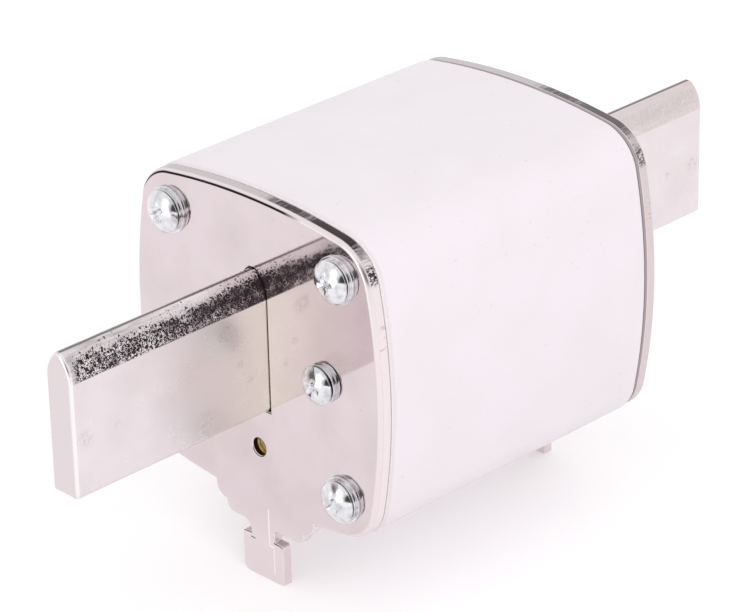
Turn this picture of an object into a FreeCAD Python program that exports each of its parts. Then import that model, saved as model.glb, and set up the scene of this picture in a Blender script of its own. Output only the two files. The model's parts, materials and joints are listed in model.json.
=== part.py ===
import FreeCAD
import Part
import math
import os
import re
import Sketcher

# Knife blade fuse-link, size 2, for low-voltage distribution boards.
# X runs along the blades, +Z is up, and the two grip lugs point down.
# The origin is under the middle of the fuse, level with the feet of the lugs.
# Millimetres throughout.

SIZES = {
    # Whole fuse
    "overall_length": 150.0,          # over the tips of the two blades
    "over_plates": 66.4,              # over the outer faces of the end plates
    # End plates, stamped from sheet
    "plate_width": 58.7,              # across, over the bulged sides
    "plate_height": 57.3,             # top to bottom, without the lug
    "side_bulge": 3.45,               # how far the left and right sides swell past the corners
    "top_bulge": 2.55,                # how far the top and the foot swell past the corners
    "corner_radius": 8.4,
    "plate_thickness": 2.5,
    "plate_edge_bevel": 0.6,          # rolled outer edge
    # Grip lug under each plate
    "lug_thickness": 2.0,             # flush with the plate's outer face
    "tab_width": 19.0,
    "tab_shift": -0.7,                # middle of the tab from the middle of the plate
    "tab_drop": 4.1,                  # tab below the lowest point of the plate
    "tab_root_radius": 2.5,
    "tab_corner_radius": 1.8,
    "tab_side_left": 0.2,             # straight side left between the tab's two roundings, at least
    "neck_height": 2.2,
    "neck_width": 5.8,
    "neck_shift": 0.05,               # middle of neck and head from the middle of the plate
    "neck_root_radius": 1.8,          # towards +Y
    "neck_nick_radius": 0.5,          # towards -Y
    "head_width": 9.8,
    "head_height": 7.75,
    "head_top_rounding": 0.7,
    "head_toe_rounding": 1.6,         # foot corner towards +Y
    "head_heel_rounding": 0.4,        # foot corner towards -Y
    # Ceramic body and gaskets
    "body_overhang": 0.2,             # the body stands proud of the plates by this much
    "body_edge_bevel": 0.5,
    "bore_diameter": 45.0,
    "gasket_thickness": 0.5,
    "screw_grip": 8.9,                # length of each corner screw in the ceramic
    "screw_hole_spare": 2.1,          # left in the hole beyond the screw
    "body_hole_play": 0.1,            # round each corner screw, in its moulded hole
    # Knife blades
    "blade_width": 25.4,
    "blade_thickness": 6.0,
    "blade_rise": 2.75,               # middle of the blade above the middle of the plate
    "blade_taper_height": 4.8,        # the lead-in edge that enters the jaws
    "blade_apex_width": 1.2,
    "blade_edge_rounding": 0.9,
    "blade_end_bevel": 0.4,
    "slot_gap": 0.15,                 # round the blade in the plate
    "tang_width": 20.0,
    "tang_reach": 7.0,                # past the contact block, where the strips are welded
    "tang_gap": 0.1,                  # round the tang in the contact block
    # Contact blocks
    "block_side_room": 3.15,          # from the block's ends to the bore
    "block_margin": 1.5,              # of the block above and below the tang
    "block_thickness": 4.0,
    "block_corner_radius": 5.0,
    # Screws and washers
    "round_flats": 16,                # flat sides that stand for each small round outline
    "corner_screw_side": 9.35,        # corner screw in from the swell of the plate's side
    "corner_screw_top": 8.75,         # corner screw in from the swell of the plate's top or foot
    "clamp_screw_side": 3.5,          # clamp screw in from the end of the contact block
    "screw_diameter": 4.0,
    "thread_play": 0.1,               # round a screw in a plate, a gasket or a block
    "corner_head_diameter": 7.7,
    "clamp_head_diameter": 7.0,
    "head_rise": 1.7,
    "head_bevel": 1.2,                # sloped shoulder of the raised head
    "recess_length": 4.4,
    "recess_width": 1.0,
    "recess_depth": 1.2,
    "clamp_screw_margin": 0.4,        # the clamp screw ends this far inside the block
    "washer_play": 0.15,
    "flat_washer_diameter": 8.3,
    "flat_washer_thickness": 0.5,
    "spring_washer_diameter": 7.6,
    "spring_washer_thickness": 0.8,
    "clamp_washer_diameter": 8.1,
    "clamp_washer_thickness": 1.3,    # not pressed quite flat
    "washer_slit": 0.7,
    # Fuse strips
    "strip_thickness": 0.3,
    "strip_edge_gap": 0.1,            # from a strip's edge to the tang's edge
    "strip_middle_gap": 1.0,          # between the two strips on one side
    "weld_end_gap": 1.0,              # from the weld's end to the tang's end
    "strip_bow": 6.5,                 # how far the strips swing out into the sand
    "strip_run_out": 7.0,             # length over which they swing out
    "window_rows": 5,
    "windows_per_row": 3,
    "window_length": 1.6,             # along the strip
    "window_width": 2.0,              # across the strip
    "row_end_gap": 0.25,              # the rows of windows share what the bends leave, less this at each end
    "window_pitch": 2.9,
    "bridge_length": 1.8,
    "bridge_thickness": 0.5,
    # Sand
    "sand_gap": 0.2,
    # Blown-fuse indicator
    "indicator_margin": 4.95,         # from the indicator's axis down to the bore
    "indicator_hole": 3.2,
    "pin_play": 0.1,                  # round the pin in its hole
    "pin_recess": 1.7,                # the pin's face behind the plate's face
    "pin_stroke": 5.0,
    "stop_gap": 0.3,                  # left between collar and plate at full stroke
    "collar_play": 0.05,              # round the collar in the sleeve
    "collar_length": 1.2,
    "tail_diameter": 1.8,
    "tail_length": 3.2,
    "tail_bore_depth": 2.4,
    "sleeve_bore": 4.0,
    "sleeve_wall": 0.5,
    "sleeve_floor": 1.0,
    "spring_length": 5.6,             # pressed together behind the collar
    "spring_play": 0.2,               # round the spring in the sleeve
    "spring_wire": 0.4,
    "spring_turns": 4,
    "spring_sides": 8,                # straight runs that stand for each turn
    "spring_end_gap": 0.05,
    "wire_diameter": 0.3,
    "wire_play": 0.15,
    "anchor_flange": 1.2,             # thickness of the anchor's flange inside the right-hand plate
}

doc = FreeCAD.newDocument("knife_blade_fuse")
sheet = doc.addObject("Spreadsheet::Sheet", "Sizes")
for row, (alias, size) in enumerate(SIZES.items(), start=1):
    sheet.set("A%d" % row, alias)
    sheet.set("B%d" % row, str(size))
    sheet.setAlias("B%d" % row, alias)
doc.recompute()

# Heights and depths that several pieces share, written as sums of the sizes.
MIDDLE = "(head_height + neck_height + tab_drop + plate_height / 2)"
PLATE_OUTER = "(over_plates / 2)"
PLATE_INNER = "(over_plates / 2 - plate_thickness)"
BODY_END = "(over_plates / 2 - plate_thickness - gasket_thickness)"
BLOCK_INNER = "(over_plates / 2 - plate_thickness - block_thickness)"
BLADE_MIDDLE = "(%s + blade_rise)" % MIDDLE
BLADE_FOOT = "(%s - blade_width / 2)" % BLADE_MIDDLE
BLADE_TOP = "(%s + blade_width / 2)" % BLADE_MIDDLE
PLATE_FOOT = "(head_height + neck_height + tab_drop)"
TAB_FOOT = "(head_height + neck_height)"
BLOCK_REACH = "(bore_diameter / 2 - block_side_room)"
BLOCK_RISE = "(tang_width / 2 + block_margin)"
STRIP_WIDTH = "(tang_width / 2 - strip_edge_gap - strip_middle_gap / 2)"
STRIP_SPREAD = "(%s + strip_middle_gap)" % STRIP_WIDTH
STRIP_WELD = "(%s - tang_reach + weld_end_gap)" % BLOCK_INNER
STRIP_BEND = "(%s - strip_run_out)" % STRIP_WELD
ROW_PITCH = "((2 * %s - 2 * row_end_gap) / window_rows)" % STRIP_BEND
INDICATOR_HEIGHT = "(%s - bore_diameter / 2 + indicator_margin)" % MIDDLE
PIN = "(indicator_hole - 2 * pin_play)"
SLEEVE = "(sleeve_bore + 2 * sleeve_wall)"
COLLAR_FRONT = "(plate_thickness + pin_stroke + stop_gap)"
COLLAR_BACK = "(plate_thickness + pin_stroke + stop_gap + collar_length)"
SLEEVE_FLOOR = "(plate_thickness + pin_stroke + stop_gap + collar_length + spring_length)"
SCREW_HOLE = "(screw_diameter + 2 * thread_play)"
CORNERS = [("%s(plate_width / 2 - corner_screw_side)" % side, "%s %s (plate_height / 2 - corner_screw_top)" %
            (MIDDLE, level)) for side in ("-", "") for level in "-+"]
BESIDE_BLADE = [("%s(%s - clamp_screw_side)" % (side, BLOCK_REACH), MIDDLE) for side in ("-", "")]


def bound(text):
    """A sum of sizes, as an expression that reads them from the sheet."""
    return re.sub(r"[a-z]\w+", lambda word: "Sizes." + word.group() if word.group() in SIZES
                  else word.group(), text)


def amount(text):
    """What a sum of sizes comes to."""
    return float(sheet.evalExpression(bound(text)))


def new_body(label):
    body = doc.addObject("PartDesign::Body", label)
    body.Label = label
    return body


def new_sketch(body, name, plane, offset="0"):
    """A sketch on one of the body's own planes, moved along the plane's normal."""
    sketch = body.newObject("Sketcher::SketchObject", name)
    support = [item for item in body.Origin.OriginFeatures if item.Role == plane][0]
    sketch.AttachmentSupport = [(support, "")]
    sketch.MapMode = "FlatFace"
    sketch.setExpression("AttachmentOffset.Base.z", bound(offset))
    doc.recompute()
    return sketch


def hold(sketch, kind, place, size):
    """One dimension of a sketch, tied to the sheet."""
    index = sketch.addConstraint(Sketcher.Constraint(kind, *place, amount(size)))
    sketch.setExpression("Constraints[%d]" % index, bound(size))


def arc_through(start, end, radius, swell):
    """An arc of a radius between two points, swelling to the left (1) or right (-1) of the way."""
    chord = end - start
    middle = (start + end) / 2
    aside = FreeCAD.Vector(-chord.y, chord.x, 0).normalize() * swell
    rise = radius - math.sqrt(max(radius ** 2 - (chord.Length / 2) ** 2, 0))
    return Part.Arc(start, middle + aside * rise, end)


def draw(sketch, points, arcs=None):
    """A closed outline through points given as sums; arcs maps a side's number to (radius, swell)."""
    arcs = arcs or {}
    spots = [FreeCAD.Vector(amount(x), amount(y), 0) for x, y in points]
    sides = len(points)
    ends = []
    for side in range(sides):
        start = spots[side]
        end = spots[(side + 1) % len(points)]
        if side in arcs:
            radius, swell = arcs[side]
            shape = arc_through(start, end, amount(radius), swell)
        else:
            shape = Part.LineSegment(start, end)
        number = sketch.addGeometry(shape)
        begins = sketch.getPoint(number, 1).distanceToPoint(start) < 1e-4
        ends.append((number, 1, 2) if begins else (number, 2, 1))
        if side in arcs:
            hold(sketch, "Radius", (number,), arcs[side][0])
    for side in range(sides):
        here = ends[side]
        after = ends[(side + 1) % sides]
        sketch.addConstraint(Sketcher.Constraint("Coincident", here[0], here[2], after[0], after[1]))
    for side, (number, first, _) in enumerate(ends):
        hold(sketch, "DistanceX", (number, first), points[side][0])
        hold(sketch, "DistanceY", (number, first), points[side][1])


def draw_circle(sketch, across, up, diameter):
    centre = FreeCAD.Vector(amount(across), amount(up), 0)
    number = sketch.addGeometry(Part.Circle(centre, FreeCAD.Vector(0, 0, 1), amount(diameter) / 2))
    hold(sketch, "DistanceX", (number, 3), across)
    hold(sketch, "DistanceY", (number, 3), up)
    hold(sketch, "Diameter", (number,), diameter)


def draw_round(sketch, across, up, diameter):
    """A small round outline, as a regular polygon with its corners on the circle."""
    flats = int(amount("round_flats"))
    turns = [360 * (number + 0.5) / flats for number in range(flats)]
    draw(sketch, [("%s + %s / 2 * cos(%gdeg)" % (across, diameter, turn),
                   "%s + %s / 2 * sin(%gdeg)" % (up, diameter, turn)) for turn in turns])


def draw_box(sketch, left, right, low, high):
    draw(sketch, [(left, low), (right, low), (right, high), (left, high)])


def pad(body, sketch, length):
    """Material from the sketch, along its plane's normal."""
    feature = body.newObject("PartDesign::Pad", sketch.Name + "_pad")
    feature.Profile = sketch
    feature.setExpression("Length", bound(length))
    doc.recompute()
    return feature


def pocket(body, sketch, depth, along_normal=True):
    """A cut from the sketch; a cut that takes nothing away stops the build."""
    before = body.Shape.Volume
    feature = body.newObject("PartDesign::Pocket", sketch.Name + "_pocket")
    feature.Profile = sketch
    feature.Reversed = along_normal
    feature.setExpression("Length", bound(depth))
    doc.recompute()
    if body.Shape.Volume > before - 1e-6:
        raise RuntimeError(sketch.Name + " cuts nothing")
    return feature


def revolve(body, sketch):
    """A full turn about the sketch's own horizontal axis."""
    feature = body.newObject("PartDesign::Revolution", sketch.Name + "_turned")
    feature.Profile = sketch
    feature.ReferenceAxis = (sketch, ["H_Axis"])
    feature.Angle = 360
    doc.recompute()
    return feature


def round_edges(body, name, radius, wanted):
    """A fillet on every edge that wanted() picks from the body as it stands."""
    base = body.Tip
    names = ["Edge%d" % (number + 1) for number, edge in enumerate(base.Shape.Edges) if wanted(edge)]
    feature = body.newObject("PartDesign::Fillet", name)
    feature.Base = (base, names)
    feature.setExpression("Radius", bound(radius))
    doc.recompute()
    return feature


def bevel_edges(body, name, size, wanted):
    """A chamfer on every edge that wanted() picks from the body as it stands."""
    base = body.Tip
    names = ["Edge%d" % (number + 1) for number, edge in enumerate(base.Shape.Edges) if wanted(edge)]
    feature = body.newObject("PartDesign::Chamfer", name)
    feature.Base = (base, names)
    feature.setExpression("Size", bound(size))
    doc.recompute()
    return feature


def runs_along_x(edge):
    """True for a straight edge that lies along the fuse."""
    if not isinstance(edge.Curve, Part.Line):
        return False
    return abs(edge.tangentAt(edge.FirstParameter).x) > 0.999


def lies_at_x(edge, place):
    """True for an edge that lies wholly at one station along the fuse."""
    box = edge.BoundBox
    return abs(box.XMin - place) < 1e-3 and abs(box.XMax - place) < 1e-3


def edge_spot(edge):
    """The middle of an edge."""
    return edge.valueAt((edge.FirstParameter + edge.LastParameter) / 2)


def bulged_square(sketch, overhang="0"):
    """The outline that plates, gaskets and body share: a square with four swelling sides."""
    across = "(plate_width / 2 - side_bulge + %s)" % overhang
    rise = "(plate_height / 2 - top_bulge + %s)" % overhang
    flat_arc = "((%s ^ 2 + top_bulge ^ 2) / (2 * top_bulge))" % across
    tall_arc = "((%s ^ 2 + side_bulge ^ 2) / (2 * side_bulge))" % rise
    low = "%s - %s" % (MIDDLE, rise)
    high = "%s + %s" % (MIDDLE, rise)
    corners = [("-" + across, high), (across, high), (across, low), ("-" + across, low)]
    draw(sketch, corners, {0: (flat_arc, 1), 1: (tall_arc, 1), 2: (flat_arc, 1), 3: (tall_arc, 1)})


def blade_section(sketch, gap="0"):
    """The blade seen end on: square foot, sides, and two arcs that meet in the lead-in edge."""
    half = "(blade_thickness / 2)"
    tip = "(blade_apex_width / 2)"
    step = "(blade_thickness / 2 - blade_apex_width / 2)"
    curve = "((%s ^ 2 + blade_taper_height ^ 2) / (2 * %s) + %s)" % (step, step, gap)
    side = "(%s + %s)" % (half, gap)
    crest = "(%s + %s)" % (tip, gap)
    shoulder = "%s - blade_taper_height" % BLADE_TOP
    foot = "%s - %s" % (BLADE_FOOT, gap)
    top = "%s + %s" % (BLADE_TOP, gap)
    points = [("-" + side, foot), (side, foot), (side, shoulder), (crest, top),
              ("-" + crest, top), ("-" + side, shoulder)]
    draw(sketch, points, {2: (curve, -1), 4: (curve, -1)})


def screw_holes(sketch, spots, diameter):
    """One round hole on each screw's axis."""
    for across, up in spots:
        draw_round(sketch, across, up, diameter)


def make_ceramic_body():
    body = new_body("ceramic_body")
    outline = new_sketch(body, "body_outline", "YZ_Plane", "-" + BODY_END)
    bulged_square(outline, "body_overhang")
    pad(body, outline, "2 * " + BODY_END)
    round_edges(body, "body_corners", "corner_radius + body_overhang", runs_along_x)
    end = amount(BODY_END)
    bevel_edges(body, "body_rims", "body_edge_bevel",
                lambda edge: lies_at_x(edge, -end) or lies_at_x(edge, end))
    bore = new_sketch(body, "body_bore", "YZ_Plane", "-" + BODY_END)
    draw_circle(bore, "0", MIDDLE, "bore_diameter")
    pocket(body, bore, "2 * " + BODY_END)
    for name, place, inward in (("left", "-" + BODY_END, True), ("right", BODY_END, False)):
        holes = new_sketch(body, name + "_screw_holes", "YZ_Plane", place)
        screw_holes(holes, CORNERS, "(screw_diameter + 2 * body_hole_play)")
        pocket(body, holes, "screw_grip + screw_hole_spare", inward)
    return body


def make_end_plate():
    body = new_body("left_end_plate")
    outline = new_sketch(body, "plate_outline", "YZ_Plane", "-" + PLATE_OUTER)
    bulged_square(outline)
    pad(body, outline, "plate_thickness")
    round_edges(body, "plate_corners", "corner_radius", runs_along_x)
    outer = -amount(PLATE_OUTER)
    bevel_edges(body, "plate_rim", "plate_edge_bevel", lambda edge: lies_at_x(edge, outer))
    add_lug(body)
    slot = new_sketch(body, "blade_slot", "YZ_Plane", "-" + PLATE_OUTER)
    blade_section(slot, "slot_gap")
    pocket(body, slot, "plate_thickness")
    holes = new_sketch(body, "plate_holes", "YZ_Plane", "-" + PLATE_OUTER)
    screw_holes(holes, CORNERS + BESIDE_BLADE, SCREW_HOLE)
    draw_circle(holes, "0", INDICATOR_HEIGHT, "indicator_hole")
    pocket(body, holes, "plate_thickness")
    return body


def add_lug(body):
    """The grip lug: a tab under the plate, a short neck and a broad head."""
    chord = "(plate_width / 2 - side_bulge)"
    curve = "((%s ^ 2 + top_bulge ^ 2) / (2 * top_bulge))" % chord
    inside = "(%s + 2 * tab_root_radius)" % PLATE_FOOT
    sides = []
    corners = []
    for sign in (1, -1):
        tab = "(%d * tab_width / 2 + tab_shift)" % sign
        root = "(%s + %d * tab_root_radius)" % (tab, sign)
        seat = "(%s + %s - sqrt(%s ^ 2 - %s ^ 2))" % (PLATE_FOOT, curve, curve, root)
        corners.append("min(tab_corner_radius; %s - tab_root_radius - %s - tab_side_left)" % (seat, TAB_FOOT))
        neck = "(%d * neck_width / 2 + neck_shift)" % sign
        head = "(%d * head_width / 2 + neck_shift)" % sign
        sides.append([(root, inside), (root, seat), (tab, "%s - tab_root_radius" % seat), (tab, TAB_FOOT),
                      (neck, TAB_FOOT), (neck, "head_height"), (head, "head_height"), (head, "0")])
    far, near = sides
    outline = new_sketch(body, "lug_outline", "YZ_Plane", "-" + PLATE_OUTER)
    points = far + near[::-1]
    draw(outline, points, {1: ("tab_root_radius", 1), len(points) - 3: ("tab_root_radius", 1)})
    pad(body, outline, "lug_thickness")

    def at(spot):
        across, up = (amount(place) for place in spot)

        def wanted(edge):
            middle = edge_spot(edge)
            return runs_along_x(edge) and abs(middle.y - across) < 1e-3 and abs(middle.z - up) < 1e-3
        return wanted

    for side, corner, root, foot in ((far, corners[0], "neck_root_radius", "head_toe_rounding"),
                                     (near, corners[1], "neck_nick_radius", "head_heel_rounding")):
        name = root.replace("_radius", "")
        round_edges(body, name + "_tab_corner", corner, at(side[3]))
        round_edges(body, name, root, at(side[4]))
        round_edges(body, name + "_head_shoulder", "head_top_rounding", at(side[6]))
        round_edges(body, foot.replace("_rounding", ""), foot, at(side[7]))


def make_gasket():
    body = new_body("left_gasket")
    outline = new_sketch(body, "gasket_outline", "YZ_Plane", "-" + PLATE_INNER)
    bulged_square(outline)
    pad(body, outline, "gasket_thickness")
    round_edges(body, "gasket_corners", "corner_radius", runs_along_x)
    holes = new_sketch(body, "gasket_holes", "YZ_Plane", "-" + PLATE_INNER)
    draw_circle(holes, "0", MIDDLE, "bore_diameter")
    screw_holes(holes, CORNERS, SCREW_HOLE)
    pocket(body, holes, "gasket_thickness")
    return body


def make_knife_blade():
    body = new_body("left_knife_blade")
    section = new_sketch(body, "blade_section", "YZ_Plane", "-overall_length / 2")
    blade_section(section)
    pad(body, section, "overall_length / 2 - " + PLATE_INNER)
    foot = amount(BLADE_FOOT)
    tip = -amount("overall_length / 2")
    round_edges(body, "blade_foot_edges", "blade_edge_rounding",
                lambda edge: runs_along_x(edge) and abs(edge_spot(edge).z - foot) < 1e-3)
    bevel_edges(body, "blade_end_edges", "blade_end_bevel", lambda edge: lies_at_x(edge, tip))
    tang = new_sketch(body, "tang_section", "YZ_Plane", "-" + PLATE_INNER)
    draw_box(tang, "-blade_thickness / 2", "blade_thickness / 2",
             BLADE_MIDDLE + " - tang_width / 2", BLADE_MIDDLE + " + tang_width / 2")
    pad(body, tang, "block_thickness + tang_reach")
    return body


def block_outline(sketch, gap="0"):
    side = "%s + %s" % (BLOCK_REACH, gap)
    end = "%s + %s" % (BLOCK_RISE, gap)
    draw_box(sketch, "-(%s)" % side, side, "%s - (%s)" % (BLADE_MIDDLE, end), "%s + %s" % (BLADE_MIDDLE, end))


def make_contact_block():
    body = new_body("left_contact_block")
    outline = new_sketch(body, "block_outline", "YZ_Plane", "-" + PLATE_INNER)
    block_outline(outline)
    pad(body, outline, "block_thickness")
    round_edges(body, "block_corners", "block_corner_radius", runs_along_x)
    openings = new_sketch(body, "block_openings", "YZ_Plane", "-" + PLATE_INNER)
    draw_box(openings, "-blade_thickness / 2 - tang_gap", "blade_thickness / 2 + tang_gap",
             BLADE_MIDDLE + " - tang_width / 2 - tang_gap", BLADE_MIDDLE + " + tang_width / 2 + tang_gap")
    screw_holes(openings, BESIDE_BLADE, SCREW_HOLE)
    pocket(body, openings, "block_thickness")
    return body


def make_screw(label, head_diameter, length):
    """A pan-head screw with its seat at the origin and its head towards -X."""
    body = new_body(label)
    head = new_sketch(body, label + "_head", "YZ_Plane", "-head_rise")
    draw_round(head, "0", "0", head_diameter)
    pad(body, head, "head_rise")
    crown = -amount("head_rise")
    bevel_edges(body, label + "_crown", "head_bevel", lambda edge: lies_at_x(edge, crown))
    shank = new_sketch(body, label + "_shank", "YZ_Plane")
    draw_round(shank, "0", "0", "screw_diameter")
    pad(body, shank, length)
    recess = new_sketch(body, label + "_recess", "YZ_Plane", "-head_rise")
    far = "(recess_length / 2)"
    near = "(recess_width / 2)"
    quarter = [(near, near), (near, far), ("-" + near, far), ("-" + near, near)]
    cross = quarter + [("-" + far, near), ("-" + far, "-" + near), ("-" + near, "-" + near),
                       ("-" + near, "-" + far), (near, "-" + far), (near, "-" + near),
                       (far, "-" + near), (far, near)]
    draw(recess, cross)
    pocket(body, recess, "recess_depth")
    return body


def make_washer(label, diameter, thickness, split=False):
    """A washer with its seat at the origin, standing towards -X."""
    body = new_body(label)
    ring = new_sketch(body, label + "_ring", "YZ_Plane", "-" + thickness)
    draw_round(ring, "0", "0", diameter)
    draw_round(ring, "0", "0", "(screw_diameter + 2 * washer_play)")
    pad(body, ring, thickness)
    if split:
        slit = new_sketch(body, label + "_slit", "YZ_Plane", "-" + thickness)
        draw_box(slit, "-washer_slit / 2", "washer_slit / 2", "screw_diameter / 2", diameter)
        pocket(body, slit, thickness)
    return body


def place_at_screws(label, master, standing, spots, end):
    """Copies of a fastener at one end's screws, standing off the plate by a sum of sizes."""
    copies = []
    for number, (across, up) in enumerate(spots, start=1):
        copy = doc.addObject("App::Link", "%s_%d" % (label, number))
        copy.LinkedObject = master
        turn = 0 if end < 0 else 180
        copy.Placement.Rotation = FreeCAD.Rotation(FreeCAD.Vector(0, 0, 1), turn)
        copy.setExpression("Placement.Base.x", bound("%d * (%s + %s)" % (end, PLATE_OUTER, standing)))
        copy.setExpression("Placement.Base.y", bound(across))
        copy.setExpression("Placement.Base.z", bound(up))
        copies.append(copy)
    group = doc.addObject("Part::Compound", label)
    group.Label = label
    group.Links = copies
    return group


def make_fasteners():
    stack = "(flat_washer_thickness + spring_washer_thickness)"
    corner_length = "(%s + plate_thickness + gasket_thickness + screw_grip)" % stack
    corner_screw = make_screw("corner_screw", "corner_head_diameter", corner_length)
    clamp_length = "(clamp_washer_thickness + plate_thickness + block_thickness - clamp_screw_margin)"
    clamp_screw = make_screw("clamp_screw", "clamp_head_diameter", clamp_length)
    flat_washer = make_washer("flat_washer", "flat_washer_diameter", "flat_washer_thickness")
    spring_washer = make_washer("spring_washer", "spring_washer_diameter",
                                "spring_washer_thickness", True)
    clamp_washer = make_washer("clamp_washer", "clamp_washer_diameter",
                               "clamp_washer_thickness", True)
    groups = []
    for side, end in (("left", -1), ("right", 1)):
        groups.append(place_at_screws(side + "_corner_flat_washers", flat_washer, "0", CORNERS, end))
        groups.append(place_at_screws(side + "_corner_spring_washers", spring_washer,
                                      "flat_washer_thickness", CORNERS, end))
        groups.append(place_at_screws(side + "_corner_screws", corner_screw, stack, CORNERS, end))
        groups.append(place_at_screws(side + "_clamp_spring_washers", clamp_washer, "0",
                                      BESIDE_BLADE, end))
        groups.append(place_at_screws(side + "_clamp_screws", clamp_screw,
                                      "clamp_washer_thickness", BESIDE_BLADE, end))
    return groups


def strip_outline(side, gap="0", length_gap="0"):
    """A fuse strip seen from above, as wide as its thickness plus a gap on both faces."""
    end = "(%s - tang_gap + %s)" % (BLOCK_INNER, length_gap)
    weld = STRIP_WELD
    bow = STRIP_BEND
    near = "(blade_thickness / 2 - %s)" % gap
    near_out = "(blade_thickness / 2 + strip_bow - %s)" % gap
    far = "(blade_thickness / 2 + strip_thickness + %s)" % gap
    far_out = "(blade_thickness / 2 + strip_bow + strip_thickness + %s)" % gap
    inner = [("-" + end, near), ("-" + weld, near), ("-" + bow, near_out), (bow, near_out),
             (weld, near), (end, near)]
    outer = [(end, far), (weld, far), (bow, far_out), ("-" + bow, far_out), ("-" + weld, far),
             ("-" + end, far)]
    sign = "" if side > 0 else "-"
    return [(along, sign + across) for along, across in inner + outer]


def make_fuse_strip(number, side, level):
    """A perforated strip from tang to tang, swung out into the sand in the middle."""
    body = new_body("fuse_element_%d" % number)
    middle = "(%s + %d * %s / 2)" % (BLADE_MIDDLE, level, STRIP_SPREAD)
    foot = "%s - %s / 2" % (middle, STRIP_WIDTH)
    outline = new_sketch(body, "strip_outline_%d" % number, "XY_Plane", foot)
    draw(outline, strip_outline(side))
    pad(body, outline, STRIP_WIDTH)
    windows = new_sketch(body, "strip_windows_%d" % number, "XZ_Plane",
                         "%d * (blade_thickness / 2 + strip_bow + strip_thickness)" % -side)
    rows = int(amount("window_rows"))
    across = int(amount("windows_per_row"))
    for row in range(rows):
        along = "(%g * %s)" % (row - (rows - 1) / 2, ROW_PITCH)
        for place in range(across):
            up = "(%s + %g * window_pitch)" % (middle, place - (across - 1) / 2)
            draw_box(windows, along + " - window_length / 2", along + " + window_length / 2",
                     up + " - window_width / 2", up + " + window_width / 2")
    pocket(body, windows, "strip_thickness", side > 0)
    return body


def make_solder_bridges():
    """A band of soft solder across each strip, between its middle rows of windows."""
    bands = []
    for side in (-1, 1):
        for level in (-1, 1):
            band = doc.addObject("Part::Box", "solder_band")
            band.setExpression("Length", bound("bridge_length"))
            band.setExpression("Width", bound("bridge_thickness"))
            band.setExpression("Height", bound(STRIP_WIDTH))
            band.setExpression("Placement.Base.x", bound(ROW_PITCH + " / 2 - bridge_length / 2"))
            face = "(blade_thickness / 2 + strip_bow + strip_thickness)"
            across = face if side > 0 else "-%s - bridge_thickness" % face
            band.setExpression("Placement.Base.y", bound(across))
            foot = "%s + %d * %s / 2 - %s / 2" % (BLADE_MIDDLE, level, STRIP_SPREAD, STRIP_WIDTH)
            band.setExpression("Placement.Base.z", bound(foot))
            bands.append(band)
    group = doc.addObject("Part::Compound", "solder_bridges")
    group.Label = "solder_bridges"
    group.Links = bands
    return group


def make_sand():
    """The filling: everything in the bore between the plates that no other piece takes up."""
    body = new_body("quartz_sand")
    end = "(%s - sand_gap)" % PLATE_INNER
    round_fill = new_sketch(body, "sand_outline", "YZ_Plane", "-" + end)
    draw_circle(round_fill, "0", MIDDLE, "bore_diameter - 2 * sand_gap")
    pad(body, round_fill, "2 * " + end)
    band = "(%s / 2 + %s / 2 + sand_gap)" % (STRIP_SPREAD, STRIP_WIDTH)
    bottom = "%s - %s" % (BLADE_MIDDLE, band)
    for side, name in ((-1, "near"), (1, "far")):
        channel = new_sketch(body, name + "_strip_channel", "XY_Plane", bottom)
        draw(channel, strip_outline(side, "sand_gap", "tang_gap"))
        pocket(body, channel, "2 * " + band)
        face = "(blade_thickness / 2 + strip_bow)"
        low, high = (face, face + " + strip_thickness + bridge_thickness + sand_gap")
        if side < 0:
            low, high = ("-(%s)" % high, "-" + low)
        solder = new_sketch(body, name + "_solder_channel", "XY_Plane", bottom)
        draw_box(solder, ROW_PITCH + " / 2 - bridge_length / 2 - sand_gap",
                 ROW_PITCH + " / 2 + bridge_length / 2 + sand_gap", low, high)
        pocket(body, solder, "2 * " + band)
    for name, place, inward in (("left", "-" + end, True), ("right", end, False)):
        block = new_sketch(body, name + "_block_hollow", "YZ_Plane", place)
        block_outline(block, "sand_gap")
        pocket(body, block, "block_thickness", inward)
        tang = new_sketch(body, name + "_tang_hollow", "YZ_Plane", place)
        draw_box(tang, "-blade_thickness / 2 - sand_gap", "blade_thickness / 2 + sand_gap",
                 bottom, "%s + %s" % (BLADE_MIDDLE, band))
        pocket(body, tang, "block_thickness + tang_reach", inward)
    sleeve = new_sketch(body, "sleeve_hollow", "YZ_Plane", "-" + end)
    draw_circle(sleeve, "0", INDICATOR_HEIGHT, SLEEVE + " + 2 * sand_gap")
    pocket(body, sleeve, "%s - plate_thickness + sleeve_floor" % SLEEVE_FLOOR)
    anchor = new_sketch(body, "anchor_hollow", "YZ_Plane", end)
    draw_circle(anchor, "0", INDICATOR_HEIGHT, SLEEVE + " + 2 * sand_gap")
    pocket(body, anchor, "anchor_flange", False)
    wire = new_sketch(body, "wire_hollow", "YZ_Plane", "-" + end)
    draw_round(wire, "0", INDICATOR_HEIGHT, "(wire_diameter + 2 * sand_gap)")
    pocket(body, wire, "2 * " + end)
    return body


def seat_on_indicator_axis(item, end=-1):
    """Puts a piece drawn along X, from the plate's outer face inwards, on the indicator's axis."""
    turn = 0 if end < 0 else 180
    item.Placement.Rotation = FreeCAD.Rotation(FreeCAD.Vector(0, 0, 1), turn)
    item.setExpression("Placement.Base.x", bound("%d * %s" % (end, PLATE_OUTER)))
    item.setExpression("Placement.Base.z", bound(INDICATOR_HEIGHT))
    return item


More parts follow.
